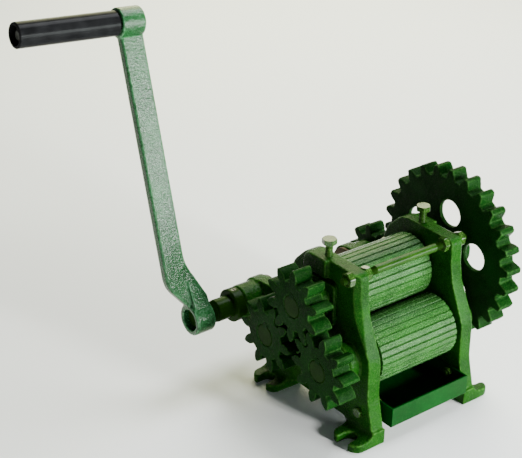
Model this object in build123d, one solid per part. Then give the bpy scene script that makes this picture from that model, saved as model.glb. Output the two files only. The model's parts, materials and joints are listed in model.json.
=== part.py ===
"""Hand-cranked three-roller crushing mill.

Millimetres. +Z is up and the feet stand on z = 0. +Y points to the rear, where
the crank shaft is, and +X runs from the crank side to the big drive gear. The
origin is on the ground, under the middle of the top roller.
"""
from build123d import *
import os
from math import acos, asin, cos, degrees, pi, radians, sin, sqrt, tan

# ---------------------------------------------------------------- rollers
ROLLER_RIGHT = 50.0          # right end of the rollers; the left is at a bush
NIP = 2.0                    # gap between the top roller and each lower one
FLUTES = 30
FLUTE_DEPTH = 1.7
FLUTE_WIDTH = 2.4
FLUTE_PHASE = 3.0
ROLLER_RISE = 50.0           # ground to the underside of the lower rollers
LOWER_GAP = 3.3              # between the tips of the two lower gears
SHAFT_D = 25.0
SHAFT_CHAMFER = 1.2

# ---------------------------------------------------------------- gears
MODULE = 7.0
ROLLER_TEETH = 10
DRIVE_TEETH = 26
PINION_TEETH = 9
PRESSURE_ANGLE = 25.0
ROLLER_ADDENDUM = 0.95       # in modules
DRIVE_ADDENDUM = 0.68
ROLLER_BACKLASH = 1.2
DRIVE_BACKLASH = 1.8
ROOT_CLEARANCE = 1.2
ROLLER_GEAR_WIDTH = 22.0
DRIVE_GEAR_WIDTH = 20.4
PINION_WIDTH = 22.0
TOP_GEAR_PHASE = 19.5        # where one tooth stands, from +Y towards +Z
DRIVE_GEAR_PHASE = 8.2
CRANK_FALL = 25.0            # angle of the crank shaft below the top axis
ROLLER_GEAR_GAP = 4.0        # lower bearing boss to roller gear
PINION_GAP = 2.6             # crank bearing boss to pinion
DRIVE_GEAR_INSET = 6.0       # the drive gear's inner face beyond the pinion's
RIM_DEPTH = 12.0             # drive gear's tooth roots to its recessed web
WEB_THICK = 5.5
LIGHT_HOLES = 5
LIGHT_HOLE_R = 15.0
LIGHT_HOLE_CENTRE_R = 46.0
LIGHT_HOLE_PHASE = 24.5

# ---------------------------------------------------------------- frame
SIDE_GAP = 7.0               # right end of a roller to its side plate
PLATE_THICK = 16.0
HEAD_RISE = 45.0             # plate top above the top roller's axis
BELLY_MARGIN = 33.7          # plate edge beyond a lower axis
HEAD_HALF = 54.5             # front edge of the plate's head
BOSS_STAND = 14.0            # lower bearing boss beyond the plate
BOSS_WALL = 6.0              # casting round a lower bush
ARM_END_R = 20.5             # round end of the crank bearing arm
LEFT_ARM_BOSS = 25.0         # crank bearing boss beyond the left plate
RIGHT_ARM_BOSS = 18.4
ARM_BOSS_WALL = 3.0          # casting round a crank bush
FOOT_THICK = 10.0
FOOT_LEAD = 12.5             # foot's end beyond the plate's belly
FOOT_REACH = 24.5            # foot beyond the plate's outer face
FOOT_LENGTH = 41.0
FOOT_SLOT = 16.0
FOOT_SLOT_ROOT = 7.0         # slot root beyond the plate's outer face
FOOT_FILLET = 7.0
FOOT_ROUND = 0.92            # a prong's outer corner radius, in prong widths
FOOT_FALL = 1.5              # fall of a foot's top towards its tip
ARCH_Z = 14.0
LEFT_EDGE_BREAK = 6.0        # bevel along a plate's outer front edge
RIGHT_EDGE_BREAK = 2.0
PAD_STAND = 5.0              # raised pad under the pressure bolt
PAD_FRONT = 9.5
PAD_REAR = 26.0
PAD_CORNER = 12.0
BOSS_BREAK = 2.0             # bevel round a bearing boss

# ---------------------------------------------------------------- bearings
BUSH_WALL = 3.5
BUSH_FLANGE = 3.0
BUSH_LIP = 3.0               # bush flange beyond its sleeve
RUNNING = 0.05               # radial clearance of a shaft in its bush
SLIDING = 0.10               # clearance of a bearing block in its window
END_PLAY = 0.10
BLOCK_WALL = 6.0             # least casting round a top bush
BLOCK_FLANGE = 5.0
BLOCK_LIP = 3.0
LIFT_ROOM = 2.5              # window height above the block
WINDOW_R = 3.0

# ---------------------------------------------------------------- fasteners
M8_R = 4.0
M8_FLATS = 14.0
M8_HEAD = 5.6
M8_NUT = 6.5
M8_PITCH = 1.25
M6_R = 3.0
M6_FLATS = 10.0
M6_HEAD = 4.0
M6_PITCH = 1.0
THREAD_DEPTH = 0.6           # in pitches
SCREW_CLEARANCE = 0.05
BOLT_STICK_OUT = 13.0        # pressure bolt's shank above the plate
ROD_BODY_R = 4.5
ROD_NECK = 8.5               # thread between a tie rod's body and its inner nut
ROD_STICK_OUT = 5.0
FRONT_ROD_BACK = 10.5        # front tie rod behind the head's front edge
FRONT_ROD_DOWN = 6.0         # and below the plate's top
REAR_ROD_GAP = 3.9           # rear tie rod's body to the top roller
REAR_ROD_RISE = 3.0          # and above its axis
LOW_ROD_IN = 11.0            # lower tie rod ahead of the plate's belly
LOW_ROD_Z = 32.0
KEY_W = 7.0
KEY_DEPTH = 3.5
KEY_RISE = 3.0

# ---------------------------------------------------------------- tray
SHEET = 1.6
TRAY_LEFT_GAP = 7.0
TRAY_FRONT = 91.5
TRAY_REAR = 40.0
TRAY_GAP = 11.0              # tray's rim to the lower rollers
TRAY_DEEP = 23.0
TRAY_BOLT_FRONT = 26.0       # front bolts behind the tray's front wall
TRAY_BOLT_REAR = 20.0        # rear bolts ahead of its rear wall
TRAY_BOLT_RISE = 15.5        # bolts above the tray's floor
SPACER_R = 6.0

# ---------------------------------------------------------------- crank
CRANK_LENGTH = 322.0
CRANK_LEAN = 16.2            # lever angle from upright, towards the rear
LEVER_WIDTH = 26.0
LEVER_THICK = 11.0
LEVER_OFFSET = 20.0          # the lever stands this far outside its hub
LEVER_EDGE_R = 2.5
NECK_LOW = 42.0              # where the cranked neck ends, up the lever
NECK_HIGH = 66.0
HUB_WIDTH = 23.6
HUB_WALL = 5.0
HUB_PITCH = 2.5              # of the thread that holds the hub
HUB_THREAD_LEAD = 9.0        # thread inboard end, inside the hub
SHAFT_REACH = 66.0           # plain shaft between the left plate and the hub
HUB_POCKET = 6.5             # the shaft's end stands back in the hub
COLLAR_WIDTH = 12.0
COLLAR_WALL = 6.0
HEAD_BOSS_R = 15.5
GRIP_TILT = 4.5
GRIP_LENGTH = 112.0
GRIP_R = 13.0
GRIP_GAP = 1.0
SPINDLE_R = 5.0
SPINDLE_NUT_FLATS = 16.0
SPINDLE_NUT = 6.0
GRIP_MOUTH_R = 10.2
GRIP_MOUTH_DEEP = 13.0
WASHER = 1.1
WASHER_R = 9.6

# ---------------------------------------------------------------- derived
SHAFT_R = SHAFT_D / 2
BUSH_R = SHAFT_R + BUSH_WALL
BUSH_FLANGE_R = BUSH_R + BUSH_LIP
BOSS_R = BUSH_R + BOSS_WALL
ARM_BOSS_R = BUSH_R + ARM_BOSS_WALL
BLOCK_HALF = BUSH_R + BLOCK_WALL
HUB_R = SHAFT_R + HUB_WALL
HUB_BORE_R = SHAFT_R - 0.6
COLLAR_R = SHAFT_R + COLLAR_WALL
CENTRES = MODULE * ROLLER_TEETH
ROLLER_R = (CENTRES - NIP) / 2
LOWER_Y = CENTRES / 2 + ROLLER_ADDENDUM * MODULE + LOWER_GAP / 2
LOWER_SPREAD = degrees(asin(LOWER_Y / CENTRES))
LOWER_Z = ROLLER_RISE + ROLLER_R
TOP_Z = LOWER_Z + CENTRES * cos(radians(LOWER_SPREAD))
CRANK_CENTRES = MODULE * (DRIVE_TEETH + PINION_TEETH) / 2
CRANK_Y = CRANK_CENTRES * cos(radians(CRANK_FALL))
CRANK_Z = TOP_Z - CRANK_CENTRES * sin(radians(CRANK_FALL))
INNER = ROLLER_RIGHT + SIDE_GAP
ROLLER_LEFT = INNER - BUSH_FLANGE - END_PLAY
OUTER = INNER + PLATE_THICK
BOSS_FACE = OUTER + BOSS_STAND
ROLLER_GEAR_IN = BOSS_FACE + ROLLER_GEAR_GAP
ROLLER_GEAR_OUT = ROLLER_GEAR_IN + ROLLER_GEAR_WIDTH
PINION_IN = OUTER + RIGHT_ARM_BOSS + PINION_GAP
PINION_OUT = PINION_IN + PINION_WIDTH
DRIVE_GEAR_IN = PINION_IN + DRIVE_GEAR_INSET
DRIVE_GEAR_OUT = DRIVE_GEAR_IN + DRIVE_GEAR_WIDTH
HEAD_Z = TOP_Z + HEAD_RISE
BELLY = LOWER_Y + BELLY_MARGIN
FOOT_Y = BELLY + FOOT_LEAD
WINDOW_TOP = TOP_Z + BLOCK_HALF + LIFT_ROOM
LEFT_ARM_FACE = OUTER + LEFT_ARM_BOSS
HUB_IN = OUTER + SHAFT_REACH
HUB_OUT = HUB_IN + HUB_WIDTH
TRAY_LOW_X = -(INNER - TRAY_LEFT_GAP)
TRAY_Z = ROLLER_RISE - TRAY_GAP - TRAY_DEEP
TRAY_BOLT_YS = (-TRAY_FRONT + TRAY_BOLT_FRONT, TRAY_REAR - TRAY_BOLT_REAR)
TRAY_BOLT_Z = TRAY_Z + TRAY_BOLT_RISE
ROD_BODY_HALF = INNER - M8_NUT - ROD_NECK
BOLT_SHANK = HEAD_RISE - BLOCK_HALF + BOLT_STICK_OUT
FRONT_ROD = (-HEAD_HALF + FRONT_ROD_BACK, HEAD_Z - FRONT_ROD_DOWN)
REAR_ROD_REACH = ROLLER_R + REAR_ROD_GAP + ROD_BODY_R
REAR_ROD = (sqrt(REAR_ROD_REACH ** 2 - REAR_ROD_RISE ** 2), TOP_Z + REAR_ROD_RISE)
LOW_ROD = (BELLY - LOW_ROD_IN, LOW_ROD_Z)


def rod_x(r, x0, x1, y=0.0, z=0.0):
    """A round bar along X from x0 to x1."""
    low, high = min(x0, x1), max(x0, x1)
    return Pos(low, y, z) * Rot(0, 90, 0) * Cylinder(
        r, high - low, align=(Align.CENTER, Align.CENTER, Align.MIN))


def hex_x(flats, x0, x1, y=0.0, z=0.0, turn=0.0):
    """A hexagonal prism along X, with lightly turned-down corners."""
    low, high = min(x0, x1), max(x0, x1)
    prism = extrude(RegularPolygon(flats / 2, 6, major_radius=False), high - low)
    dome = Cylinder(flats * 0.565, high - low,
                    align=(Align.CENTER, Align.CENTER, Align.MIN))
    dome = chamfer(dome.edges().filter_by(GeomType.CIRCLE), 0.7)
    return Pos(low, y, z) * Rot(0, 90, 0) * Rot(0, 0, turn) * (prism & dome)


def box_between(x, y, z):
    """A box from three (low, high) pairs."""
    sizes = [high - low for low, high in (x, y, z)]
    middle = [(high + low) / 2 for low, high in (x, y, z)]
    return Pos(*middle) * Box(*sizes)


def threaded(r, pitch, length):
    """A threaded stretch along +Z from z = 0, its thread as a row of ridges."""
    turns = max(1, int(length / pitch))
    step = length / turns
    inner = r - THREAD_DEPTH * pitch
    points = [(0, 0), (inner, 0)]
    for turn in range(turns):
        points += [(r, (turn + 0.5) * step), (inner, (turn + 1) * step)]
    points.append((0, length))
    return revolve(Plane.XZ * make_face(Polyline(points, close=True)), Axis.Z)


def involute(angle):
    return tan(angle) - angle


def gear_face(teeth, addendum, mate_addendum, backlash, phase):
    """The outline of a gear on the YZ plane, a tooth standing at phase."""
    pitch_r = MODULE * teeth / 2
    base = pitch_r * cos(radians(PRESSURE_ANGLE))
    tip = pitch_r + addendum * MODULE
    root = pitch_r - mate_addendum * MODULE - ROOT_CLEARANCE
    half_pitch = pi / (2 * teeth) - backlash / (4 * pitch_r)

    def half_angle(r):
        if r <= base:
            return half_pitch + involute(radians(PRESSURE_ANGLE))
        return (half_pitch + involute(radians(PRESSURE_ANGLE))
                - involute(acos(base / r)))

    def at(r, angle):
        return (r * cos(angle), r * sin(angle))

    start = max(base, root + 0.8)
    radii = [start + (tip - start) * share / 4 for share in range(5)]
    edges = []
    for tooth in range(teeth):
        mid = radians(phase) + 2 * pi * tooth / teeth
        next_mid = mid + 2 * pi / teeth
        foot = half_angle(start)
        rising = [at(r, mid - half_angle(r)) for r in radii]
        falling = [at(r, mid + half_angle(r)) for r in reversed(radii)]
        low_left = at(root, mid - foot)
        low_right = at(root, mid + foot)
        gap_mid = at(root, (mid + next_mid) / 2)
        next_low = at(root, next_mid - foot)
        edges += [Line(low_left, rising[0]), Spline(rising),
                  ThreePointArc(rising[-1], at(tip, mid), falling[0]),
                  Spline(falling), Line(falling[-1], low_right),
                  ThreePointArc(low_right, gap_mid, next_low)]
    return Plane.YZ * make_face(edges)


def meshed_phase(own_phase, own_teeth, direction, teeth):
    """The phase of a second gear, in mesh with the first along direction."""
    own_pitch = 360 / own_teeth
    pitch = 360 / teeth
    share = (own_phase - direction) / own_pitch
    return direction + 180 + pitch * (0.5 - share)


def keyed_bore(x0, x1, y=0.0, z=0.0, rise=KEY_RISE):
    """What is cut from a hub for its shaft and key."""
    slot = box_between((x0, x1), (y - KEY_W / 2, y + KEY_W / 2),
                       (z, z + SHAFT_R + rise))
    return rod_x(SHAFT_R, x0, x1, y, z) + slot


def shaft_key(x0, x1, y=0.0, z=0.0):
    return box_between((x0, x1), (y - KEY_W / 2, y + KEY_W / 2),
                       (z + SHAFT_R - KEY_DEPTH, z + SHAFT_R + KEY_RISE))


def plain_shaft(x0, x1, y, z, keys):
    """A shaft with bevelled ends and a seat for each key."""
    bar = rod_x(SHAFT_R, x0, x1, y, z)
    bar = chamfer(bar.edges().filter_by(GeomType.CIRCLE), SHAFT_CHAMFER)
    for low, high in keys:
        bar -= shaft_key(low, high, y, z)
    return bar


# ---------------------------------------------------------------- side plates
def plate_outline():
    """Half of the frame seen from the side: head, belly, feet, crank arm."""
    corners = [
        (-FOOT_Y, 0, 1.5), (-FOOT_Y + 1.5, FOOT_THICK, 14),
        (-BELLY - 1, LOWER_Z - 34, 40), (-BELLY, LOWER_Z + 10, 26),
        (-HEAD_HALF - 4, TOP_Z - 4, 60), (-HEAD_HALF, TOP_Z + 18, 30),
        (-HEAD_HALF + 1, HEAD_Z, 7),
        (24, HEAD_Z, 24), (47, TOP_Z + 22, 24), (REAR_ROD[0] + 11.5, TOP_Z - 4, 18),
        (BELLY - 6, CRANK_Z + 25, 18),
        (CRANK_Y - 4, CRANK_Z + ARM_END_R + 1, 18),
        (CRANK_Y + ARM_END_R, CRANK_Z + ARM_END_R - 4, 15),
        (CRANK_Y + ARM_END_R, CRANK_Z - ARM_END_R, 17),
        (CRANK_Y - 8, CRANK_Z - ARM_END_R, 14),
        (BELLY + 2, LOWER_Z - 34, 22),
        (FOOT_Y - 1.5, FOOT_THICK, 14), (FOOT_Y, 0, 1.5),
        (FOOT_Y - FOOT_LENGTH, 0, 1.5), (FOOT_Y - FOOT_LENGTH - 4, ARCH_Z, 8),
        (-FOOT_Y + FOOT_LENGTH + 4, ARCH_Z, 8), (-FOOT_Y + FOOT_LENGTH, 0, 1.5),
    ]
    points = [(y, z) for y, z, _ in corners]
    radii = [r for _, _, r in corners]
    return FilletPolyline(*points, radius=radii, close=True)


def plate_web(edge_break):
    """The flat of a left plate, its outer front edge bevelled at the head."""
    web = Pos(-OUTER, 0, 0) * extrude(
        make_face(Plane.YZ * plate_outline()), PLATE_THICK, dir=(1, 0, 0))
    heights = [(HEAD_Z + 2, -HEAD_HALF + 1, edge_break),
               (TOP_Z + 18, -HEAD_HALF, edge_break),
               (TOP_Z - 3, -HEAD_HALF - 3.8, edge_break), (LOWER_Z + 11, -BELLY, 0)]
    sections = [bevel_section(*height) for height in heights]
    return web - loft(sections, ruled=True)


def bevel_section(z, edge_y, depth, over=2.0):
    """A level slice of what the bevel takes off the plate's front edge."""
    return Pos(0, 0, z) * make_face(Polyline(
        (-OUTER - over, edge_y - over), (-OUTER + depth + over, edge_y - over),
        (-OUTER - over, edge_y + depth + over), close=True))


def foot(side):
    """One foot of the left plate, with its open bolt slot."""
    tip = -(OUTER + FOOT_REACH)
    section = make_face(Plane.XZ * Polyline(
        (-INNER, 0), (-INNER, FOOT_THICK + FOOT_FILLET), (-OUTER, FOOT_THICK + FOOT_FILLET),
        (-OUTER - FOOT_FILLET * 0.3, FOOT_THICK + FOOT_FILLET * 0.3),
        (-OUTER - FOOT_FILLET, FOOT_THICK), (tip, FOOT_THICK - FOOT_FALL), (tip, 0),
        close=True))
    low = FOOT_Y - FOOT_LENGTH
    prong = (FOOT_LENGTH - FOOT_SLOT) / 2
    slab = extrude(Pos(0, low, 0) * section, FOOT_LENGTH, dir=(0, 1, 0))
    plan = RectangleRounded(2 * (OUTER + FOOT_REACH), FOOT_LENGTH, prong * FOOT_ROUND)
    middle = low + FOOT_LENGTH / 2
    slab &= Pos(0, middle, 0) * extrude(plan, 2 * OUTER)
    root = -(OUTER + FOOT_SLOT_ROOT + FOOT_SLOT / 2)
    slot = Pos(root, middle, 0) * Cylinder(FOOT_SLOT / 2, 4 * FOOT_THICK)
    slot += box_between((tip - 5, root), (middle - FOOT_SLOT / 2, middle + FOOT_SLOT / 2),
                        (-FOOT_THICK, 2 * FOOT_THICK))
    slab -= slot
    return slab if side > 0 else mirror(slab, Plane.XZ)


def side_plate(arm_boss, edge_break):
    """A left plate: web, feet, bearing bosses, pad, window and holes."""
    plate = plate_web(edge_break) + foot(1) + foot(-1)
    for y in (-LOWER_Y, LOWER_Y):
        boss = rod_x(BOSS_R, -BOSS_FACE, -OUTER, y, LOWER_Z)
        plate += chamfer(boss.edges().filter_by(GeomType.CIRCLE).sort_by(Axis.X)[0],
                         BOSS_BREAK)
    arm = rod_x(ARM_BOSS_R, -OUTER - arm_boss, -OUTER, CRANK_Y, CRANK_Z)
    plate += chamfer(arm.edges().filter_by(GeomType.CIRCLE).sort_by(Axis.X)[0], BOSS_BREAK)
    pad = box_between((-OUTER - PAD_STAND, -OUTER), (-PAD_FRONT, PAD_REAR),
                      (WINDOW_TOP, HEAD_Z))
    pad = fillet(pad.edges().filter_by(Axis.X).filter_by(
        lambda e: e.center().Y > 0 and e.center().Z > HEAD_Z - 1), PAD_CORNER)
    plate += pad
    for y, z in ((-LOWER_Y, LOWER_Z), (LOWER_Y, LOWER_Z), (CRANK_Y, CRANK_Z)):
        plate -= rod_x(BUSH_R, -OUTER - 60, -INNER + 1, y, z)
    window = box_between((-OUTER - 1, -INNER + 1), (-BLOCK_HALF, BLOCK_HALF),
                         (TOP_Z - BLOCK_HALF, WINDOW_TOP))
    plate -= fillet(window.edges().filter_by(Axis.X), WINDOW_R)
    plate -= Pos(-(INNER + OUTER) / 2, 0, WINDOW_TOP) * Cylinder(
        M8_R + SCREW_CLEARANCE, 80)
    for y, z in rod_places():
        plate -= rod_x(M8_R + SCREW_CLEARANCE, -OUTER - 20, -INNER + 1, y, z)
    for y in TRAY_BOLT_YS:
        plate -= rod_x(M6_R + SCREW_CLEARANCE, -OUTER - 20, -INNER + 1, y, TRAY_BOLT_Z)
    return plate


def rod_places():
    return [FRONT_ROD, REAR_ROD, LOW_ROD]


def flip(shape):
    """The same piece made for the other side of the mill."""
    return mirror(shape, Plane.YZ)


# ---------------------------------------------------------------- bearings
def bearing_block():
    """The left block: it slides in the plate's window and holds a bush."""
    half = BLOCK_HALF - SLIDING
    bottom = TOP_Z - BLOCK_HALF
    body = box_between((-OUTER, -INNER), (-half, half), (bottom, TOP_Z + BLOCK_HALF))
    body = fillet(body.edges().filter_by(Axis.X), WINDOW_R + 0.5)
    lip = box_between((-OUTER - BLOCK_FLANGE, -OUTER - SLIDING),
                      (-half - BLOCK_LIP, half + BLOCK_LIP),
                      (bottom - BLOCK_LIP, TOP_Z + BLOCK_HALF))
    lip = fillet(lip.edges().filter_by(Axis.X), 4)
    bridge = box_between((-OUTER - SLIDING, -OUTER), (-half + 4, half - 4),
                         (bottom + 4, TOP_Z + BLOCK_HALF - 4))
    nose = rod_x(ARM_BOSS_R, -BOSS_FACE, -OUTER - BLOCK_FLANGE, 0, TOP_Z)
    block = body + lip + bridge + nose
    return block - rod_x(BUSH_R, -BOSS_FACE - 1, -INNER + 1, 0, TOP_Z)


def bush(outer_face, y, z):
    """A bronze bush in the left plate, with a thrust flange inside."""
    sleeve = rod_x(BUSH_R, -outer_face, -INNER, y, z)
    flange = rod_x(BUSH_FLANGE_R, -INNER, -INNER + BUSH_FLANGE, y, z)
    return sleeve + flange - rod_x(SHAFT_R + RUNNING, -outer_face - 1, 0, y, z)


def thrust_ring(y, z):
    """A ring at a roller's right end, between it and the bush flange."""
    far = INNER - BUSH_FLANGE - END_PLAY
    ring = rod_x(BUSH_FLANGE_R - 1, ROLLER_RIGHT, far, y, z)
    return ring - rod_x(SHAFT_R, 0, far + 1, y, z)


# ---------------------------------------------------------------- rollers
def roller(y, z, phase):
    """A cast roller with straight V flutes."""
    body = Circle(ROLLER_R) - Circle(SHAFT_R)
    half = degrees(asin(FLUTE_WIDTH / 2 / ROLLER_R))
    outside = ROLLER_R + 1
    notch = make_face(Polyline(
        (ROLLER_R - FLUTE_DEPTH, 0),
        (outside * cos(radians(half)), outside * sin(radians(half)) * 1.4),
        (outside * cos(radians(half)), -outside * sin(radians(half)) * 1.4),
        close=True))
    for flute in range(FLUTES):
        body -= Rot(0, 0, phase + 360 * flute / FLUTES) * notch
    bar = extrude(body, ROLLER_LEFT + ROLLER_RIGHT)
    return Pos(-ROLLER_LEFT, y, z) * Rot(0, 90, 0) * bar


# ---------------------------------------------------------------- gears
def roller_gear(y, z, phase):
    """A ten-tooth gear on a roller shaft's left end, with a short hub."""
    face = gear_face(ROLLER_TEETH, ROLLER_ADDENDUM, ROLLER_ADDENDUM,
                     ROLLER_BACKLASH, phase)
    wheel = Pos(-ROLLER_GEAR_OUT, y, z) * extrude(face, ROLLER_GEAR_WIDTH, dir=(1, 0, 0))
    wheel += rod_x(BUSH_FLANGE_R, -ROLLER_GEAR_IN, -BOSS_FACE - END_PLAY, y, z)
    return wheel - keyed_bore(-ROLLER_GEAR_OUT - 1, -BOSS_FACE, y, z)


def drive_gear():
    """The big gear on the top roller's right end, with its ring of holes."""
    face = gear_face(DRIVE_TEETH, DRIVE_ADDENDUM, DRIVE_ADDENDUM,
                     DRIVE_BACKLASH, DRIVE_GEAR_PHASE)
    wheel = Pos(DRIVE_GEAR_IN, 0, TOP_Z) * extrude(face, DRIVE_GEAR_WIDTH, dir=(1, 0, 0))
    rim = MODULE * DRIVE_TEETH / 2 - DRIVE_ADDENDUM * MODULE - RIM_DEPTH
    recess = rod_x(rim, DRIVE_GEAR_IN + WEB_THICK, DRIVE_GEAR_OUT + 1, 0, TOP_Z)
    recess -= rod_x(BOSS_R, DRIVE_GEAR_IN, DRIVE_GEAR_OUT + 2, 0, TOP_Z)
    wheel -= recess
    wheel += rod_x(BUSH_FLANGE_R, BOSS_FACE + END_PLAY, DRIVE_GEAR_IN, 0, TOP_Z)
    for hole in range(LIGHT_HOLES):
        angle = radians(LIGHT_HOLE_PHASE + 360 * hole / LIGHT_HOLES)
        wheel -= rod_x(LIGHT_HOLE_R, DRIVE_GEAR_IN - 1, DRIVE_GEAR_OUT + 1,
                       LIGHT_HOLE_CENTRE_R * cos(angle),
                       TOP_Z + LIGHT_HOLE_CENTRE_R * sin(angle))
    return wheel - keyed_bore(BOSS_FACE, DRIVE_GEAR_OUT + 1, 0, TOP_Z)


def crank_pinion():
    """The nine-tooth pinion on the crank shaft's right end."""
    phase = meshed_phase(DRIVE_GEAR_PHASE, DRIVE_TEETH, -CRANK_FALL, PINION_TEETH)
    face = gear_face(PINION_TEETH, DRIVE_ADDENDUM, DRIVE_ADDENDUM,
                     DRIVE_BACKLASH, phase)
    wheel = Pos(PINION_IN, CRANK_Y, CRANK_Z) * extrude(face, PINION_WIDTH, dir=(1, 0, 0))
    hub = OUTER + RIGHT_ARM_BOSS + END_PLAY
    wheel += rod_x(BUSH_FLANGE_R - 1, hub, PINION_IN, CRANK_Y, CRANK_Z)
    return wheel - keyed_bore(hub - 1, PINION_OUT + 1, CRANK_Y, CRANK_Z)


# ---------------------------------------------------------------- fasteners
def pressure_bolt():
    """The left pressure bolt: its tip rests on the bearing block."""
    tip = TOP_Z + BLOCK_HALF
    shank = Pos(0, 0, tip) * threaded(M8_R, M8_PITCH, BOLT_SHANK)
    head = Rot(0, -90, 0) * hex_x(M8_FLATS, 0, M8_HEAD, turn=12)
    head = Pos(0, 0, tip + BOLT_SHANK) * head
    return Pos(-(INNER + OUTER) / 2, 0, 0) * (shank + head)


def tie_rod(y, z):
    """A stay between the plates, threaded M8 at both ends."""
    end = OUTER + M8_NUT + ROD_STICK_OUT
    body = rod_x(ROD_BODY_R, -ROD_BODY_HALF, ROD_BODY_HALF, y, z)
    body = chamfer(body.edges().filter_by(GeomType.CIRCLE), 1)
    thread = threaded(M8_R, M8_PITCH, end - ROD_BODY_HALF)
    right = Pos(ROD_BODY_HALF, y, z) * Rot(0, 90, 0) * thread
    return body + right + flip(right)


def tie_nuts(y, z):
    """Four nuts of a tie rod, one on each face of each plate."""
    nuts = []
    for turn, x0 in ((8, OUTER), (21, INNER - M8_NUT)):
        nut = hex_x(M8_FLATS, x0, x0 + M8_NUT, y, z, turn)
        nut -= rod_x(M8_R, x0 - 1, x0 + M8_NUT + 1, y, z)
        nuts += [nut, flip(nut)]
    return Compound(nuts)


# ---------------------------------------------------------------- tray
def juice_tray():
    """A folded sheet tray, open at the top, under the lower rollers."""
    x, y, z = (TRAY_LOW_X, INNER), (-TRAY_FRONT, TRAY_REAR), (TRAY_Z, TRAY_Z + TRAY_DEEP)
    tray = box_between(x, y, z)
    tray = fillet(tray.edges().filter_by(Axis.X).filter_by(
        lambda e: e.center().Z < TRAY_Z + 1), SHEET * 1.4)
    tray -= box_between((x[0] + SHEET, x[1] - SHEET), (y[0] + SHEET, y[1] - SHEET),
                        (z[0] + SHEET, z[1] + 1))
    for bolt_y in TRAY_BOLT_YS:
        tray -= rod_x(M6_R + SCREW_CLEARANCE, -INNER, INNER + 1, bolt_y, TRAY_BOLT_Z)
    return tray


def tray_screws():
    """Bolts from outside each plate into the tray, and their nuts."""
    bolts, nuts, spacers = [], [], []
    for side, wall in ((-1, -TRAY_LOW_X), (1, INNER)):
        for y in TRAY_BOLT_YS:
            inside = wall - SHEET
            end = inside - M6_HEAD - 2
            head = hex_x(M6_FLATS, side * OUTER, side * (OUTER + M6_HEAD), y, TRAY_BOLT_Z, 5)
            stem = threaded(M6_R, M6_PITCH, OUTER - end)
            stem = Pos(side * OUTER, y, TRAY_BOLT_Z) * Rot(0, -90 * side, 0) * stem
            bolts.append(head + stem)
            nut = hex_x(M6_FLATS, side * (inside - M6_HEAD), side * inside, y, TRAY_BOLT_Z, 17)
            nuts.append(nut - rod_x(M6_R, -INNER, INNER, y, TRAY_BOLT_Z))
            if side < 0:
                ring = rod_x(SPACER_R, -INNER, TRAY_LOW_X, y, TRAY_BOLT_Z)
                spacers.append(ring - rod_x(M6_R + SCREW_CLEARANCE, -INNER - 1, 0, y, TRAY_BOLT_Z))
    return Compound(bolts), Compound(nuts), Compound(spacers)


# ---------------------------------------------------------------- crank
def crank_shaft():
    """The crank shaft, with a threaded stretch where the hub screws on."""
    end = -(HUB_OUT - HUB_POCKET)
    thread_start = -(HUB_IN - HUB_THREAD_LEAD)
    bar = rod_x(SHAFT_R, thread_start, PINION_OUT, CRANK_Y, CRANK_Z)
    bar = chamfer(bar.edges().filter_by(GeomType.CIRCLE), SHAFT_CHAMFER)
    thread = threaded(HUB_BORE_R, HUB_PITCH, thread_start - end)
    bar += Pos(end, CRANK_Y, CRANK_Z) * Rot(0, 90, 0) * thread
    return bar - shaft_key(PINION_IN, PINION_OUT + 1, CRANK_Y, CRANK_Z)


def shaft_collar():
    ring = rod_x(COLLAR_R, -LEFT_ARM_FACE - END_PLAY - COLLAR_WIDTH,
                 -LEFT_ARM_FACE - END_PLAY, CRANK_Y, CRANK_Z)
    ring = chamfer(ring.edges().filter_by(GeomType.CIRCLE), 0.8)
    ring -= rod_x(SHAFT_R, -HUB_OUT, 0, CRANK_Y, CRANK_Z)
    middle = -LEFT_ARM_FACE - END_PLAY - COLLAR_WIDTH / 2
    return ring - Pos(middle, CRANK_Y, CRANK_Z) * Cylinder(
        M6_R, 40, align=(Align.CENTER, Align.CENTER, Align.MIN))


def collar_screw():
    middle = -LEFT_ARM_FACE - END_PLAY - COLLAR_WIDTH / 2
    screw = Pos(middle, CRANK_Y, CRANK_Z + SHAFT_R) * Cylinder(
        M6_R, COLLAR_R - SHAFT_R, align=(Align.CENTER, Align.CENTER, Align.MIN))
    slot = Pos(middle, CRANK_Y, CRANK_Z + COLLAR_R) * Box(1, 10, 2.4)
    return screw - slot


def lever_place():
    """The lever's own frame: X as the mill's, Z from the hub up the lever."""
    return Location((0, CRANK_Y, CRANK_Z)) * Rot(-CRANK_LEAN, 0, 0)


def head_place():
    """The spindle's frame: Z runs out along the grip, from the lever's head."""
    centre = -(HUB_IN + HUB_WIDTH / 2 + LEVER_OFFSET)
    height = CRANK_LENGTH
    spot = lever_place() * Pos(centre, 0, height)
    return Location(spot.position) * Rot(0, -90 + GRIP_TILT, 0)


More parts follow.
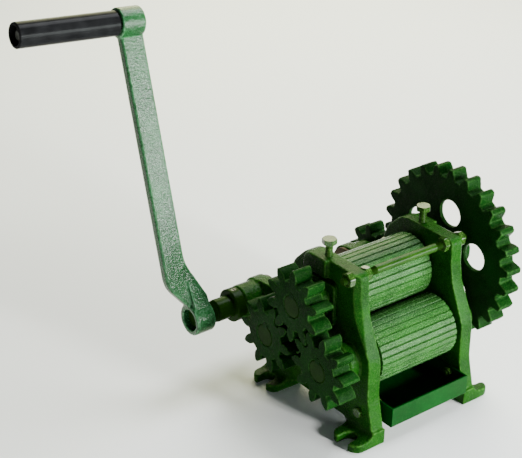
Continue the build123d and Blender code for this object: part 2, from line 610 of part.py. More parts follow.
def crank_arm():
    """The cast lever: hub, cranked neck, long flat arm and head boss."""
    centre = -(HUB_IN + HUB_WIDTH / 2 + LEVER_OFFSET)
    left, right = centre - LEVER_WIDTH / 2, centre + LEVER_WIDTH / 2
    outline = FilletPolyline(
        (-HUB_IN, 0), (-HUB_IN, HUB_R + 2), (right, NECK_HIGH), (right, CRANK_LENGTH),
        (left, CRANK_LENGTH), (left, NECK_LOW), (-HUB_OUT, HUB_R - 2), (-HUB_OUT, 0),
        radius=[0.5, 8, 40, 0.5, 0.5, 30, 8, 0.5], close=True)
    arm = extrude(make_face(Plane.XZ * outline), LEVER_THICK / 2, both=True)
    long_edges = arm.edges().filter_by(
        lambda e: abs(abs(e.center().Y) - LEVER_THICK / 2) < 0.01
        and 20 < e.center().Z < CRANK_LENGTH - 3)
    arm = fillet(long_edges, LEVER_EDGE_R)
    hub = rod_x(HUB_R, -HUB_OUT, -HUB_IN)
    hub = fillet(hub.edges().filter_by(GeomType.CIRCLE), 2)
    gusset = extrude(make_face(Plane.YZ * Polyline(
        (-HUB_R + 3, 6), (-LEVER_THICK / 2, 50), (LEVER_THICK / 2, 50),
        (HUB_R - 3, 6), close=True)), HUB_WIDTH - 5, dir=(1, 0, 0))
    gusset = Pos(-HUB_OUT + 3, 0, 0) * gusset
    gusset &= extrude(make_face(Plane.XZ * outline), 60, both=True)
    boss = Cylinder(HEAD_BOSS_R, LEVER_WIDTH + 1)
    boss = fillet(boss.edges().filter_by(GeomType.CIRCLE), 1.5)
    arm = lever_place() * (arm + hub + gusset) + head_place() * boss
    arm -= rod_x(HUB_BORE_R, -HUB_OUT - 1, -HUB_IN + 1, CRANK_Y, CRANK_Z)
    return arm - head_place() * Cylinder(SPINDLE_R, 80)


def grip_spindle():
    half = (LEVER_WIDTH + 1) / 2
    end = half + GRIP_GAP + GRIP_LENGTH - 3
    rod = Pos(0, 0, -half) * Cylinder(
        SPINDLE_R, end + half, align=(Align.CENTER, Align.CENTER, Align.MIN))
    return head_place() * chamfer(rod.edges().filter_by(GeomType.CIRCLE), 0.8)


def grip_sleeve():
    """The black tube that turns on the spindle, its mouth counterbored."""
    low = (LEVER_WIDTH + 1) / 2 + GRIP_GAP
    tube = Pos(0, 0, low) * Cylinder(
        GRIP_R, GRIP_LENGTH, align=(Align.CENTER, Align.CENTER, Align.MIN))
    tube = fillet(tube.edges().filter_by(GeomType.CIRCLE), 1.2)
    tube -= Pos(0, 0, low) * Cylinder(SPINDLE_R + RUNNING, 3 * GRIP_LENGTH)
    tube -= Pos(0, 0, low + GRIP_LENGTH - GRIP_MOUTH_DEEP) * Cylinder(
        GRIP_MOUTH_R, 60, align=(Align.CENTER, Align.CENTER, Align.MIN))
    return head_place() * tube


def spindle_nut():
    low = (LEVER_WIDTH + 1) / 2 + GRIP_GAP + GRIP_LENGTH - GRIP_MOUTH_DEEP
    low += END_PLAY + WASHER
    nut = Rot(0, -90, 0) * hex_x(SPINDLE_NUT_FLATS, 0, SPINDLE_NUT)
    nut = Pos(0, 0, low) * nut - Cylinder(SPINDLE_R, 600)
    return head_place() * nut


def grip_washer():
    low = (LEVER_WIDTH + 1) / 2 + GRIP_GAP + GRIP_LENGTH - GRIP_MOUTH_DEEP + END_PLAY
    disc = Pos(0, 0, low) * Cylinder(
        WASHER_R, WASHER, align=(Align.CENTER, Align.CENTER, Align.MIN))
    return head_place() * (disc - Cylinder(SPINDLE_R, 600))


# ---------------------------------------------------------------- the mill
def build_nodes():
    nodes = {}
    nodes["left_side_plate"] = side_plate(LEFT_ARM_BOSS, LEFT_EDGE_BREAK)
    nodes["right_side_plate"] = flip(side_plate(RIGHT_ARM_BOSS, RIGHT_EDGE_BREAK))

    block = bearing_block()
    nodes["left_bearing_block"] = block
    nodes["right_bearing_block"] = flip(block)
    bolt = pressure_bolt()
    nodes["left_pressure_bolt"] = bolt
    nodes["right_pressure_bolt"] = flip(bolt)

    axes = {"top": (0, TOP_Z), "front": (-LOWER_Y, LOWER_Z), "rear": (LOWER_Y, LOWER_Z)}
    phases = {"top": TOP_GEAR_PHASE}
    for name, direction in (("front", -90 - LOWER_SPREAD), ("rear", -90 + LOWER_SPREAD)):
        phases[name] = meshed_phase(TOP_GEAR_PHASE, ROLLER_TEETH, direction, ROLLER_TEETH)
    left_key = (-ROLLER_GEAR_OUT, -ROLLER_GEAR_IN)
    right_key = (DRIVE_GEAR_IN, DRIVE_GEAR_OUT)
    for name, (y, z) in axes.items():
        right_end = DRIVE_GEAR_OUT if name == "top" else BOSS_FACE
        seats = [left_key, right_key] if name == "top" else [left_key]
        nodes[name + "_roller"] = roller(y, z, FLUTE_PHASE)
        nodes[name + "_roller_shaft"] = plain_shaft(-ROLLER_GEAR_OUT, right_end, y, z, seats)
        nodes[name + "_roller_gear"] = roller_gear(y, z, phases[name])
        nodes[name + "_thrust_ring"] = thrust_ring(y, z)
        keys = [shaft_key(low, high, y, z) for low, high in seats]
        if name == "top":
            nodes["top_shaft_keys"] = Compound(keys)
        else:
            nodes[name + "_gear_key"] = keys[0]
        one = bush(BOSS_FACE, y, z)
        nodes["left_" + name + "_bush"] = one
        nodes["right_" + name + "_bush"] = flip(one)

    nodes["drive_gear"] = drive_gear()
    nodes["crank_pinion"] = crank_pinion()
    nodes["pinion_key"] = shaft_key(PINION_IN, PINION_OUT, CRANK_Y, CRANK_Z)
    nodes["left_crank_bush"] = bush(LEFT_ARM_FACE, CRANK_Y, CRANK_Z)
    nodes["right_crank_bush"] = flip(bush(OUTER + RIGHT_ARM_BOSS, CRANK_Y, CRANK_Z))

    for name, (y, z) in zip(("front_upper", "rear_upper", "rear_lower"), rod_places()):
        nodes[name + "_tie_rod"] = tie_rod(y, z)
        nodes[name + "_tie_nuts"] = tie_nuts(y, z)

    nodes["juice_tray"] = juice_tray()
    nodes["tray_bolts"], nodes["tray_nuts"], nodes["tray_spacers"] = tray_screws()

    nodes["crank_shaft"] = crank_shaft()
    nodes["shaft_collar"] = shaft_collar()
    nodes["collar_set_screw"] = collar_screw()
    nodes["crank_arm"] = crank_arm()
    nodes["grip_spindle"] = grip_spindle()
    nodes["grip_sleeve"] = grip_sleeve()
    nodes["grip_washer"] = grip_washer()
    nodes["grip_nut"] = spindle_nut()
    return nodes


os.makedirs("parts", exist_ok=True)
for node, shape in build_nodes().items():
    export_step(shape, "parts/" + node + ".step")
print("axes", [round(value, 2) for value in (LOWER_Y, LOWER_Z, TOP_Z, CRANK_Y, CRANK_Z)])
print("tie rods", [(round(y, 2), round(z, 2)) for y, z in rod_places()])
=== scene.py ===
# %% [markdown]
# # A hand-cranked three-roller crushing mill
# The mill is a cast-iron machine: two side plates, three fluted rollers, a train of gears
# and a long crank lever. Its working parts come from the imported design, which the first cell
# loads. The rest of the lesson sets up a camera and a small studio, gives each casting its
# soft edges and its glossy green enamel, and finishes the machined parts.

import json
import math

import bmesh
import bpy
from mathutils import Matrix, Vector


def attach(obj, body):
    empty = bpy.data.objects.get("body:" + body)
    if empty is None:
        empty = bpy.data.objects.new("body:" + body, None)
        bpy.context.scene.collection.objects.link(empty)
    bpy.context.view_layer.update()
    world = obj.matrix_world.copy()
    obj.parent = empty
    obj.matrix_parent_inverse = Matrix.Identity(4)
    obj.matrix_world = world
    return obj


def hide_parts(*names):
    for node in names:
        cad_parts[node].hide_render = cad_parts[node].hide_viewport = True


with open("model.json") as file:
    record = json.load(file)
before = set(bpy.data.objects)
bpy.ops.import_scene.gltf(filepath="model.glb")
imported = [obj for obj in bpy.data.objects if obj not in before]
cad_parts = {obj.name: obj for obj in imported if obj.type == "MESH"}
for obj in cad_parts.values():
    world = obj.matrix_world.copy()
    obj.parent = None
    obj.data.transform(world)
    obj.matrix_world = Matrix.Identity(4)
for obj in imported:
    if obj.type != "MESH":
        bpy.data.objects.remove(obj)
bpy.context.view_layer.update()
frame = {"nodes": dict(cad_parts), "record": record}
nodes = frame["nodes"]
body_of_node = {node: body
                for body, members in frame["record"]["behaviour"]["bodies"].items()
                for node in members}

# %% [markdown]
# ## The camera
# The mill is seen from its front left and from above, through a long lens, so parallel edges
# run together only slowly. The camera is put where it looks at a point behind the rollers
# from a stated azimuth, elevation and distance, which is easier to read than raw coordinates.

# %% Camera
LOOK_AT = Vector((-0.0488, 0.1351, 0.1529))
AZIMUTH, ELEVATION, ROLL = -37.48, 26.90, 0.64
CAMERA_DISTANCE = 1.4646
LENS_MM = 91.43


def camera_axes(azimuth, elevation, roll):
    """Right, up and backward directions of a camera that looks at the mill."""
    turn, tip, lean = (math.radians(angle) for angle in (azimuth, elevation, roll))
    forward = Vector((-math.sin(turn) * math.cos(tip), math.cos(turn) * math.cos(tip),
                      -math.sin(tip)))
    right = forward.cross(Vector((0, 0, 1))).normalized()
    up = right.cross(forward)
    level_right = right
    right = level_right * math.cos(lean) + up * math.sin(lean)
    up = up * math.cos(lean) - level_right * math.sin(lean)
    return right, up, -forward


right, up, backward = camera_axes(AZIMUTH, ELEVATION, ROLL)
camera_data = bpy.data.cameras.new("studio_camera")
camera_data.lens = LENS_MM
camera_data.sensor_width = 36
camera = bpy.data.objects.new("studio_camera", camera_data)
camera.matrix_world = Matrix((
    (right.x, up.x, backward.x, 0), (right.y, up.y, backward.y, 0),
    (right.z, up.z, backward.z, 0), (0, 0, 0, 1)))
camera.location = LOOK_AT + backward * CAMERA_DISTANCE
bpy.context.scene.collection.objects.link(camera)
bpy.context.scene.camera = camera
print("camera at", [round(value, 3) for value in camera.location])

# %% [markdown]
# ## The studio
# Glossy enamel shows its surroundings more than its own colour, so the lights matter as much
# as the paint. The key lamp and a smaller one stand low in front, on the side of the big
# gear, and light the edges of the plates, the rollers and the face of the lever. A broad
# lamp overhead whitens the floor, and a yellower one behind gives everything that faces up
# an olive sheen. All four are on the same side of the mill, so the faces of the gears on
# the crank side stay nearly black, with only a weak bluish glint across them.

# %% Floor and lamps
FLOOR_SIZE = 8.0
FLOOR_WHITE = 0.93
LAMP_AIM_HEIGHT = 0.12
AIR_COLOUR = (0.95, 0.97, 1.0, 1)
AIR_STRENGTH = 0.08


def pale_floor():
    """A wide square of matt pale paper under the feet."""
    sheet = bmesh.new()
    bmesh.ops.create_grid(sheet, x_segments=1, y_segments=1, size=FLOOR_SIZE / 2)
    mesh = bpy.data.meshes.new("studio_floor")
    sheet.to_mesh(mesh)
    sheet.free()
    floor = bpy.data.objects.new("studio_floor", mesh)
    bpy.context.scene.collection.objects.link(floor)
    paper = bpy.data.materials.new("pale_paper")
    paper.use_nodes = True
    shader = paper.node_tree.nodes["Principled BSDF"]
    shader.inputs["Base Color"].default_value = (FLOOR_WHITE, FLOOR_WHITE, FLOOR_WHITE, 1)
    shader.inputs["Roughness"].default_value = 0.9
    shader.inputs["Specular IOR Level"].default_value = 0.1
    floor.data.materials.append(paper)
    return floor


def soft_lamp(name, towards, distance, size, power, colour):
    """A square lamp out along a direction from the mill, turned to face it."""
    data = bpy.data.lights.new(name, "AREA")
    data.size = size
    data.energy = power
    data.color = colour
    lamp = bpy.data.objects.new(name, data)
    lamp.location = Vector(towards).normalized() * distance + Vector((0, 0, LAMP_AIM_HEIGHT))
    lamp.rotation_euler = Vector(towards).to_track_quat("Z", "Y").to_euler()
    bpy.context.scene.collection.objects.link(lamp)
    return lamp


pale_floor()
soft_lamp("key_lamp", (0.54, -0.84, 0.06), 1.6, 0.8, 74, (0.90, 1.0, 0.96))
soft_lamp("front_lamp", (0.20, -0.94, 0.26), 1.7, 0.25, 50, (0.97, 1.0, 0.96))
soft_lamp("glint_lamp", (-0.75, -0.62, 0.10), 1.5, 0.16, 2.0, (0.80, 0.92, 1.0))
soft_lamp("top_lamp", (0.50, 0.12, 1.0), 2.4, 1.2, 84, (0.94, 0.97, 1.0))
soft_lamp("rear_lamp", (0.55, 0.72, 0.56), 1.8, 1.3, 38, (0.98, 1.0, 0.60))
world = bpy.data.worlds.new("studio_air")
world.use_nodes = True
air = world.node_tree.nodes["Background"]
air.inputs["Color"].default_value = AIR_COLOUR
air.inputs["Strength"].default_value = AIR_STRENGTH
bpy.context.scene.world = world
print("lamps", [lamp.name for lamp in bpy.data.lights])

# %% [markdown]
# ## The skin of a sand casting
# Molten iron takes the print of the sand it is poured into: grains a millimetre or two
# across, on top of slow hollows. Paint rounds the grains but doesn't hide them. Two noises
# and a cell pattern, added up, make that height. Every painted casting uses it, so it is a
# node group, placed in each material with its own grain size. The shares say how much each
# pattern adds, and the other two patterns take their scale from the grain's.

# %% Node helpers
def new_group(name, inputs, outputs):
    """A shader node group with named sockets; gives the tree, its input and its output."""
    tree = bpy.data.node_groups.new(name, "ShaderNodeTree")
    for label, kind, value in inputs:
        socket = tree.interface.new_socket(label, in_out="INPUT", socket_type=kind)
        if value is not None:
            socket.default_value = value
    for label, kind in outputs:
        tree.interface.new_socket(label, in_out="OUTPUT", socket_type=kind)
    return tree, tree.nodes.new("NodeGroupInput"), tree.nodes.new("NodeGroupOutput")


def add_node(tree, kind, settings=(), **values):
    """A node with its settings and the default values of its sockets filled in."""
    node = tree.nodes.new(kind)
    for name, value in dict(settings).items():
        setattr(node, name, value)
    for name, value in values.items():
        node.inputs[name.replace("_", " ")].default_value = value
    return node


def maths(tree, operation, first, second, clamp=False):
    """A Math node; first and second are numbers or sockets."""
    node = tree.nodes.new("ShaderNodeMath")
    node.operation = operation
    node.use_clamp = clamp
    for socket, value in zip(node.inputs, (first, second)):
        if isinstance(value, (int, float)):
            socket.default_value = value
        else:
            tree.links.new(value, socket)
    return node.outputs[0]


def noise(tree, coordinates, scale, detail=3.0, roughness=0.5):
    """A noise pattern on the given coordinates; scale is a number or a socket."""
    node = add_node(tree, "ShaderNodeTexNoise", Detail=detail, Roughness=roughness)
    tree.links.new(coordinates, node.inputs["Vector"])
    if isinstance(scale, (int, float)):
        node.inputs["Scale"].default_value = scale
    else:
        tree.links.new(scale, node.inputs["Scale"])
    return node.outputs["Fac"]


def ramp(tree, value, low, high):
    """Stretches low..high to 0..1."""
    node = add_node(tree, "ShaderNodeMapRange")
    node.inputs["From Min"].default_value = low
    node.inputs["From Max"].default_value = high
    tree.links.new(value, node.inputs["Value"])
    return node.outputs["Result"]


# %% Casting skin
GRAIN_SHARE, LUMP_SHARE, SWELL_SHARE = 0.7, 0.35, 0.9
LUMPS_PER_GRAIN = 0.8
SWELLS_PER_GRAIN = 0.12


def casting_skin_group():
    """Height of a painted sand casting, from 0 to about 1."""
    tree, given, result = new_group(
        "casting_skin",
        [("Vector", "NodeSocketVector", None), ("Grains per metre", "NodeSocketFloat", 520.0)],
        [("Height", "NodeSocketFloat"), ("Grain", "NodeSocketFloat")])
    where, count = given.outputs["Vector"], given.outputs["Grains per metre"]
    grain = noise(tree, where, count, 4.0, 0.62)
    swell = noise(tree, where, maths(tree, "MULTIPLY", count, SWELLS_PER_GRAIN), 2.0)
    cells = add_node(tree, "ShaderNodeTexVoronoi", {"feature": "SMOOTH_F1"}, Smoothness=0.6)
    tree.links.new(where, cells.inputs["Vector"])
    tree.links.new(maths(tree, "MULTIPLY", count, LUMPS_PER_GRAIN), cells.inputs["Scale"])
    lumps = maths(tree, "MULTIPLY", cells.outputs["Distance"], LUMP_SHARE)
    height = maths(tree, "ADD", maths(tree, "MULTIPLY", grain, GRAIN_SHARE), lumps)
    height = maths(tree, "ADD", height, maths(tree, "MULTIPLY", swell, SWELL_SHARE))
    tree.links.new(height, result.inputs["Height"])
    tree.links.new(grain, result.inputs["Grain"])
    return tree


casting_skin = casting_skin_group()
print("group", casting_skin.name, "with", len(casting_skin.nodes), "nodes")

# %% [markdown]
# ## Enamel colour
# Brushed or dipped enamel isn't one green. It is deeper where it pooled in hollows, and thin
# and yellower where it drew back from edges. The group mixes a deep and a body green with
# noise, then lays a pale green over them, which is partly worn thin paint and partly painted
# light. A softened casting carries an "edge" attribute, which is 1 along its corners, so the
# pale green follows the real edges as worn paint and a painted edge highlight. Fine flecks of
# it, a little smaller than the sand grains, are painted glints that lift the colour from spot
# to spot. The pale places are a little rougher.

# %% Enamel group
CLOUDS_PER_METRE = 38.0
WORN_AND_LIT_SPOTS_PER_METRE = 300.0
EDGE_WEAR_AND_HIGHLIGHT = 0.8
GRAIN_SHARE_OF_GLINTS = 0.25
THIN_AND_GLINT_DULLNESS, CLOUD_DULLNESS = 0.10, 0.04


def enamel_group():
    """Colour and roughness of enamel over a casting, with painted glint flecks and a painted
    edge highlight in its pale colour.
    """
    colour_inputs = [("Deep", (0.01, 0.10, 0.02, 1)), ("Body", (0.02, 0.2, 0.04, 1)),
                     ("Thin and glint", (0.12, 0.32, 0.08, 1))]
    tree, given, result = new_group(
        "enamel",
        [("Vector", "NodeSocketVector", None), ("Grain", "NodeSocketFloat", 0.5)]
        + [(label, "NodeSocketColor", value) for label, value in colour_inputs]
        + [("Gloss", "NodeSocketFloat", 0.25), ("Edge", "NodeSocketFloat", 0.0),
           ("Glint flecks per metre", "NodeSocketFloat", 900.0), ("Glint flecks", "NodeSocketFloat", 0.4)],
        [("Color", "NodeSocketColor"), ("Roughness", "NodeSocketFloat")])
    where = given.outputs["Vector"]
    cloud = ramp(tree, noise(tree, where, CLOUDS_PER_METRE, 4.0), 0.32, 0.68)
    mix = add_node(tree, "ShaderNodeMix", {"data_type": "RGBA"})
    tree.links.new(cloud, mix.inputs["Factor"])
    tree.links.new(given.outputs["Deep"], mix.inputs["A"])
    tree.links.new(given.outputs["Body"], mix.inputs["B"])
    # Painted glints: fleck noise, partly following the casting grain, whose peaks get the pale
    # colour.
    glint_flecks = noise(tree, where, given.outputs["Glint flecks per metre"], 2.0, 0.6)
    glint_flecks = maths(tree, "ADD", maths(tree, "MULTIPLY", glint_flecks, 1 - GRAIN_SHARE_OF_GLINTS),
                   maths(tree, "MULTIPLY", given.outputs["Grain"], GRAIN_SHARE_OF_GLINTS))
    glint_peaks = ramp(tree, glint_flecks, 0.49, 0.62)
    # Edges: worn thin paint together with a painted edge highlight, broken into spots by
    # noise.
    wobble = ramp(tree, noise(tree, where, WORN_AND_LIT_SPOTS_PER_METRE, 3.0), 0.35, 0.6)
    rubbed_and_lit_edge = maths(tree, "MULTIPLY", given.outputs["Edge"], wobble)
    glint_peaks = maths(tree, "MULTIPLY", glint_peaks, given.outputs["Glint flecks"])
    rubbed_and_lit_edge = maths(tree, "MULTIPLY", rubbed_and_lit_edge, EDGE_WEAR_AND_HIGHLIGHT)
    # The pale colour covers both the painted glint flecks and the worn, highlighted edges.
    thin_and_glint = maths(tree, "MAXIMUM", glint_peaks, rubbed_and_lit_edge, clamp=True)
    top = add_node(tree, "ShaderNodeMix", {"data_type": "RGBA"})
    tree.links.new(thin_and_glint, top.inputs["Factor"])
    tree.links.new(mix.outputs["Result"], top.inputs["A"])
    tree.links.new(given.outputs["Thin and glint"], top.inputs["B"])
    rough = maths(tree, "ADD", given.outputs["Gloss"],
                  maths(tree, "MULTIPLY", thin_and_glint, THIN_AND_GLINT_DULLNESS))
    rough = maths(tree, "ADD", rough, maths(tree, "MULTIPLY", cloud, CLOUD_DULLNESS))
    tree.links.new(top.outputs["Result"], result.inputs["Color"])
    tree.links.new(rough, result.inputs["Roughness"])
    return tree


enamel = enamel_group()
print("group", enamel.name, "with", len(enamel.nodes), "nodes")

# %% [markdown]
# ## Eight enamels, one recipe
# Each paint is the same recipe with its own greens, grain, relief in millimetres, gloss and
# share of painted glint flecks. Its third, pale green is worn thin paint and painted light:
# the painted glints and the painted edge highlight. The reflection is weaker than that of
# plain glass, because old enamel is dusty and the pale floor would otherwise wash out the
# greens of the upright faces.

# %% Painted castings
GLINT_FLECKS_PER_GRAIN = 1.9


def material_tree(name):
    """A new material; gives it, its tree, its shader and Object coordinates."""
    material = bpy.data.materials.new(name)
    material.use_nodes = True
    tree = material.node_tree
    place = tree.nodes.new("ShaderNodeTexCoord").outputs["Object"]
    return material, tree, tree.nodes["Principled BSDF"], place


def bump(tree, shader, height, millimetres):
    """Feeds a height to the shader's normal."""
    node = add_node(tree, "ShaderNodeBump", Strength=1.0)
    node.inputs["Distance"].default_value = millimetres / 1000
    tree.links.new(height, node.inputs["Height"])
    tree.links.new(node.outputs["Normal"], shader.inputs["Normal"])


def painted_casting(name, deep, body, thin_and_glint, gloss=0.22, grains=520.0, relief=0.22, ior=1.15,
                    glint_flecks=0.4):
    """Green enamel over a sand casting, with painted glint flecks and a painted edge
    highlight.
    """
    material, tree, shader, place = material_tree(name)
    skin = tree.nodes.new("ShaderNodeGroup")
    skin.node_tree = casting_skin
    skin.inputs["Grains per metre"].default_value = grains
    tree.links.new(place, skin.inputs["Vector"])
    paint = tree.nodes.new("ShaderNodeGroup")
    paint.node_tree = enamel
    for label, colour in (("Deep", deep), ("Body", body), ("Thin and glint", thin_and_glint)):
        paint.inputs[label].default_value = (*colour, 1)
    paint.inputs["Gloss"].default_value = gloss
    paint.inputs["Glint flecks"].default_value = glint_flecks
    paint.inputs["Glint flecks per metre"].default_value = GLINT_FLECKS_PER_GRAIN * grains
    # The edge attribute places the worn paint and the painted edge highlight along the
    # corners.
    edge = add_node(tree, "ShaderNodeAttribute", {"attribute_name": "edge"})
    tree.links.new(edge.outputs["Fac"], paint.inputs["Edge"])
    tree.links.new(place, paint.inputs["Vector"])
    tree.links.new(skin.outputs["Grain"], paint.inputs["Grain"])
    tree.links.new(paint.outputs["Color"], shader.inputs["Base Color"])
    tree.links.new(paint.outputs["Roughness"], shader.inputs["Roughness"])
    bump(tree, shader, skin.outputs["Height"], relief)
    shader.inputs["IOR"].default_value = ior
    return material


# Third green of each paint: the pale colour of thin paint, painted glints and painted edge
# highlight.
frame_paint = painted_casting("frame_enamel", (0.0025, 0.027, 0.0015), (0.006, 0.058, 0.0025),
                              (0.045, 0.15, 0.022), gloss=0.14, grains=460.0, relief=1.0,
                              ior=1.12, glint_flecks=0.30)
gear_paint = painted_casting("gear_enamel", (0.0015, 0.014, 0.0016), (0.003, 0.028, 0.003),
                             (0.03, 0.10, 0.02), gloss=0.13, grains=500.0, relief=1.0,
                             ior=1.06, glint_flecks=0.25)
roller_paint = painted_casting("roller_enamel", (0.005, 0.040, 0.004), (0.010, 0.076, 0.007),
                               (0.13, 0.30, 0.09), gloss=0.18, grains=600.0, relief=1.0,
                               ior=1.22, glint_flecks=0.5)
lever_paint = painted_casting("lever_enamel", (0.002, 0.030, 0.005), (0.004, 0.062, 0.011),
                              (0.10, 0.32, 0.14), gloss=0.16, grains=560.0, relief=0.7,
                              ior=1.33, glint_flecks=0.36)
shaft_paint = painted_casting("shaft_enamel", (0.004, 0.017, 0.001), (0.008, 0.032, 0.002),
                              (0.02, 0.08, 0.010), gloss=0.10, grains=500.0, relief=0.25,
                              ior=1.08, glint_flecks=0.2)
rod_paint = painted_casting("rod_enamel", (0.006, 0.030, 0.0015), (0.012, 0.048, 0.003),
                            (0.07, 0.19, 0.016), gloss=0.22, grains=500.0, relief=0.2,
                            ior=1.16, glint_flecks=0.25)
sheet_paint = painted_casting("tray_enamel", (0.0012, 0.030, 0.003), (0.002, 0.046, 0.005),
                              (0.012, 0.10, 0.012), gloss=0.18, grains=200.0, relief=0.10,
                              glint_flecks=0.15)
hardware_paint = painted_casting("screw_enamel", (0.006, 0.028, 0.002), (0.014, 0.060, 0.005),
                                 (0.22, 0.34, 0.10), gloss=0.10, grains=420.0, relief=0.12,
                                 ior=1.42, glint_flecks=0.22)
print("enamels", [m.name for m in bpy.data.materials if "enamel" in m.name])

# %% [markdown]
# ## Metal and plastic
# Thrust rings and the grip's spindle are turned steel, dark with oil, the bushes are bronze,
# and the grip is a black moulded tube that hands have polished. Turned metal has fine rings
# round its axis, which a wave pattern along that axis gives.

# %% Bare metal and plastic
TOOL_RINGS_PER_METRE = 2600.0
BLOOM_POLISH = -0.12
GRIP_GLOSS, SCUFF_DULLNESS = 0.14, 0.12
BLACK, HAZY_BLACK = (0.006, 0.006, 0.0065, 1), (0.014, 0.014, 0.015, 1)


def turned_metal(name, colour, dark, roughness):
    """A turned metal with fine tool rings along X and a dull bloom."""
    material, tree, shader, place = material_tree(name)
    wave = add_node(tree, "ShaderNodeTexWave", {"wave_type": "BANDS", "bands_direction": "X"},
                    Scale=TOOL_RINGS_PER_METRE, Distortion=1.5, Detail=2.0)
    tree.links.new(place, wave.inputs["Vector"])
    bloom = ramp(tree, noise(tree, place, 160.0, 4.0), 0.3, 0.7)
    mix = add_node(tree, "ShaderNodeMix", {"data_type": "RGBA"})
    tree.links.new(bloom, mix.inputs["Factor"])
    mix.inputs["A"].default_value = (*dark, 1)
    mix.inputs["B"].default_value = (*colour, 1)
    tree.links.new(mix.outputs["Result"], shader.inputs["Base Color"])
    rough = maths(tree, "ADD", roughness, maths(tree, "MULTIPLY", bloom, BLOOM_POLISH))
    tree.links.new(rough, shader.inputs["Roughness"])
    shader.inputs["Metallic"].default_value = 1.0
    bump(tree, shader, wave.outputs["Fac"], 0.012)
    return material


def polished_grip():
    """Black moulded plastic with faint scuffs under a haze."""
    material, tree, shader, place = material_tree("black_grip")
    scuffs = noise(tree, place, 420.0, 5.0, 0.7)
    haze = ramp(tree, noise(tree, place, 60.0, 3.0), 0.35, 0.75)
    mix = add_node(tree, "ShaderNodeMix", {"data_type": "RGBA"})
    tree.links.new(haze, mix.inputs["Factor"])
    mix.inputs["A"].default_value = BLACK
    mix.inputs["B"].default_value = HAZY_BLACK
    tree.links.new(mix.outputs["Result"], shader.inputs["Base Color"])
    scuffed = maths(tree, "MULTIPLY", ramp(tree, scuffs, 0.4, 0.8), SCUFF_DULLNESS)
    rough = maths(tree, "ADD", GRIP_GLOSS, scuffed)
    tree.links.new(rough, shader.inputs["Roughness"])
    shader.inputs["IOR"].default_value = 1.09
    bump(tree, shader, scuffs, 0.03)
    return material


bare_steel = turned_metal("bare_steel", (0.09, 0.093, 0.09), (0.035, 0.037, 0.035), 0.50)
bush_bronze = turned_metal("bush_bronze", (0.055, 0.040, 0.020), (0.022, 0.016, 0.008), 0.60)
black_grip = polished_grip()
print("bare materials", bare_steel.name, bush_bronze.name, black_grip.name)

# %% [markdown]
# ## Soft castings
# A sand mould can't hold a knife edge, so every cast edge is round by a millimetre or two,
# and no two are alike. A bevel needs clean faces to work on, and a plate with windows,
# bosses and bores doesn't have them. So each casting's shape is remade of small even faces,
# smoothed until its edges round over, and then roughened a little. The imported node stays
# underneath for the physics, and the soft piece stands in for it.

# %% Making a soft casting
CAST_RIPPLE = 0.00022
RIPPLE_SIZE = 0.004
FLAT_TURN = 0.06
EDGE_GAIN = 4.5
WELD_DISTANCE = 1e-6


def copied_shape(node):
    """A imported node's mesh as a bmesh with its loose triangles joined up."""
    shape = bmesh.new()
    shape.from_mesh(nodes[node].data)
    bmesh.ops.remove_doubles(shape, verts=shape.verts, dist=WELD_DISTANCE)
    return shape


def edge_share(shape):
    """How far each vertex stands on an edge: 0 on a flat, 1 on a sharp corner."""
    layer = shape.verts.layers.float.new("edge")
    for vert in shape.verts:
        turn = sum(edge.calc_face_angle(0.0) for edge in vert.link_edges)
        mean_turn = turn / max(1, len(vert.link_edges))
        vert[layer] = min(1.0, max(0.0, mean_turn - FLAT_TURN) * EDGE_GAIN)


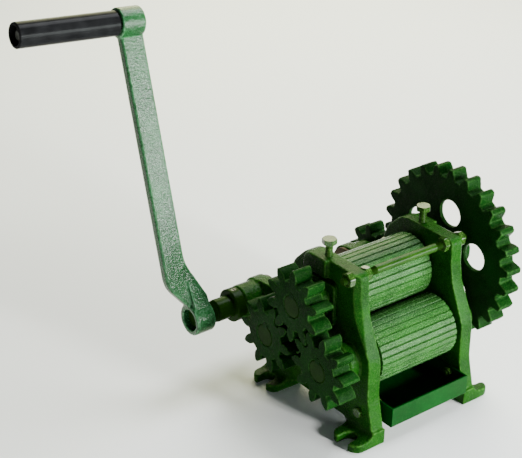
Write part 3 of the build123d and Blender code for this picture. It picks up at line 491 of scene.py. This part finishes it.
def soft_casting(node, voxel, rounds):
    """A remade copy of a cast node, with rounded edges and a faint ripple."""
    shape = copied_shape(node)
    mesh = bpy.data.meshes.new(node + "_cast")
    shape.to_mesh(mesh)
    shape.free()
    piece = bpy.data.objects.new(node + "_cast", mesh)
    bpy.context.scene.collection.objects.link(piece)
    remesh = piece.modifiers.new("even_faces", "REMESH")
    remesh.mode = "VOXEL"
    remesh.voxel_size = voxel
    remesh.adaptivity = 0.0
    graph = bpy.context.evaluated_depsgraph_get()
    even = bpy.data.meshes.new_from_object(piece.evaluated_get(graph))
    piece.modifiers.clear()
    shape = bmesh.new()
    shape.from_mesh(even)
    for _ in range(rounds):
        bmesh.ops.smooth_vert(shape, verts=shape.verts, factor=0.5,
                              use_axis_x=True, use_axis_y=True, use_axis_z=True)
    edge_share(shape)
    for face in shape.faces:
        face.smooth = True
    shape.to_mesh(mesh)
    shape.free()
    bpy.data.meshes.remove(even)
    clouds = bpy.data.textures.get("cast_clouds")
    if clouds is None:
        clouds = bpy.data.textures.new("cast_clouds", "CLOUDS")
    clouds.noise_scale = RIPPLE_SIZE
    swell = piece.modifiers.new("cast_ripple", "DISPLACE")
    swell.texture = clouds
    swell.texture_coords = "LOCAL"
    swell.strength = CAST_RIPPLE
    swell.mid_level = 0.5
    return piece


def stand_in(piece, node, material):
    """Puts a finished piece in its node's place, on the same body."""
    piece.data.materials.clear()
    piece.data.materials.append(material)
    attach(piece, body_of_node[node])
    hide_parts(node)
    print(piece.name, len(piece.data.polygons), "faces on", body_of_node[node])


# %% The castings
CASTINGS = [
    ("left_side_plate", 0.0011, 3, frame_paint, "frame_paint"),
    ("right_side_plate", 0.0011, 3, frame_paint, "frame_paint"),
    ("left_bearing_block", 0.0009, 2, frame_paint, "frame_paint"),
    ("right_bearing_block", 0.0009, 2, frame_paint, "frame_paint"),
    ("top_roller_gear", 0.0008, 3, gear_paint, "gear_paint"),
    ("front_roller_gear", 0.0008, 3, gear_paint, "gear_paint"),
    ("rear_roller_gear", 0.0008, 3, gear_paint, "gear_paint"),
    ("crank_pinion", 0.0008, 3, gear_paint, "gear_paint"),
    ("drive_gear", 0.0011, 3, gear_paint, "gear_paint"),
    ("crank_arm", 0.0009, 3, lever_paint, "lever_paint"),
]
for node, voxel, rounds, material, slot_name in CASTINGS:
    stand_in(soft_casting(node, voxel, rounds), node, material)

# %% [markdown]
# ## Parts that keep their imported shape
# Rollers, shafts, screws and the tray are machined, rolled or folded, so their edges are
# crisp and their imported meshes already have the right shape. They only need a finish.

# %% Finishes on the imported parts
FINISHES = {
    "roller_paint": roller_paint, "shaft_paint": shaft_paint, "rod_paint": rod_paint,
    "sheet_paint": sheet_paint, "hardware_paint": hardware_paint, "steel": bare_steel,
    "bronze": bush_bronze, "grip_plastic": black_grip, "frame_paint": frame_paint,
    "gear_paint": gear_paint, "lever_paint": lever_paint,
}
slot_of_node = {part["node"]: part["material_slot"] for part in frame["record"]["subparts"]}
for node, thing in nodes.items():
    thing.data.materials.clear()
    thing.data.materials.append(FINISHES[slot_of_node[node]])
print(len(nodes), "packed nodes given a finish")
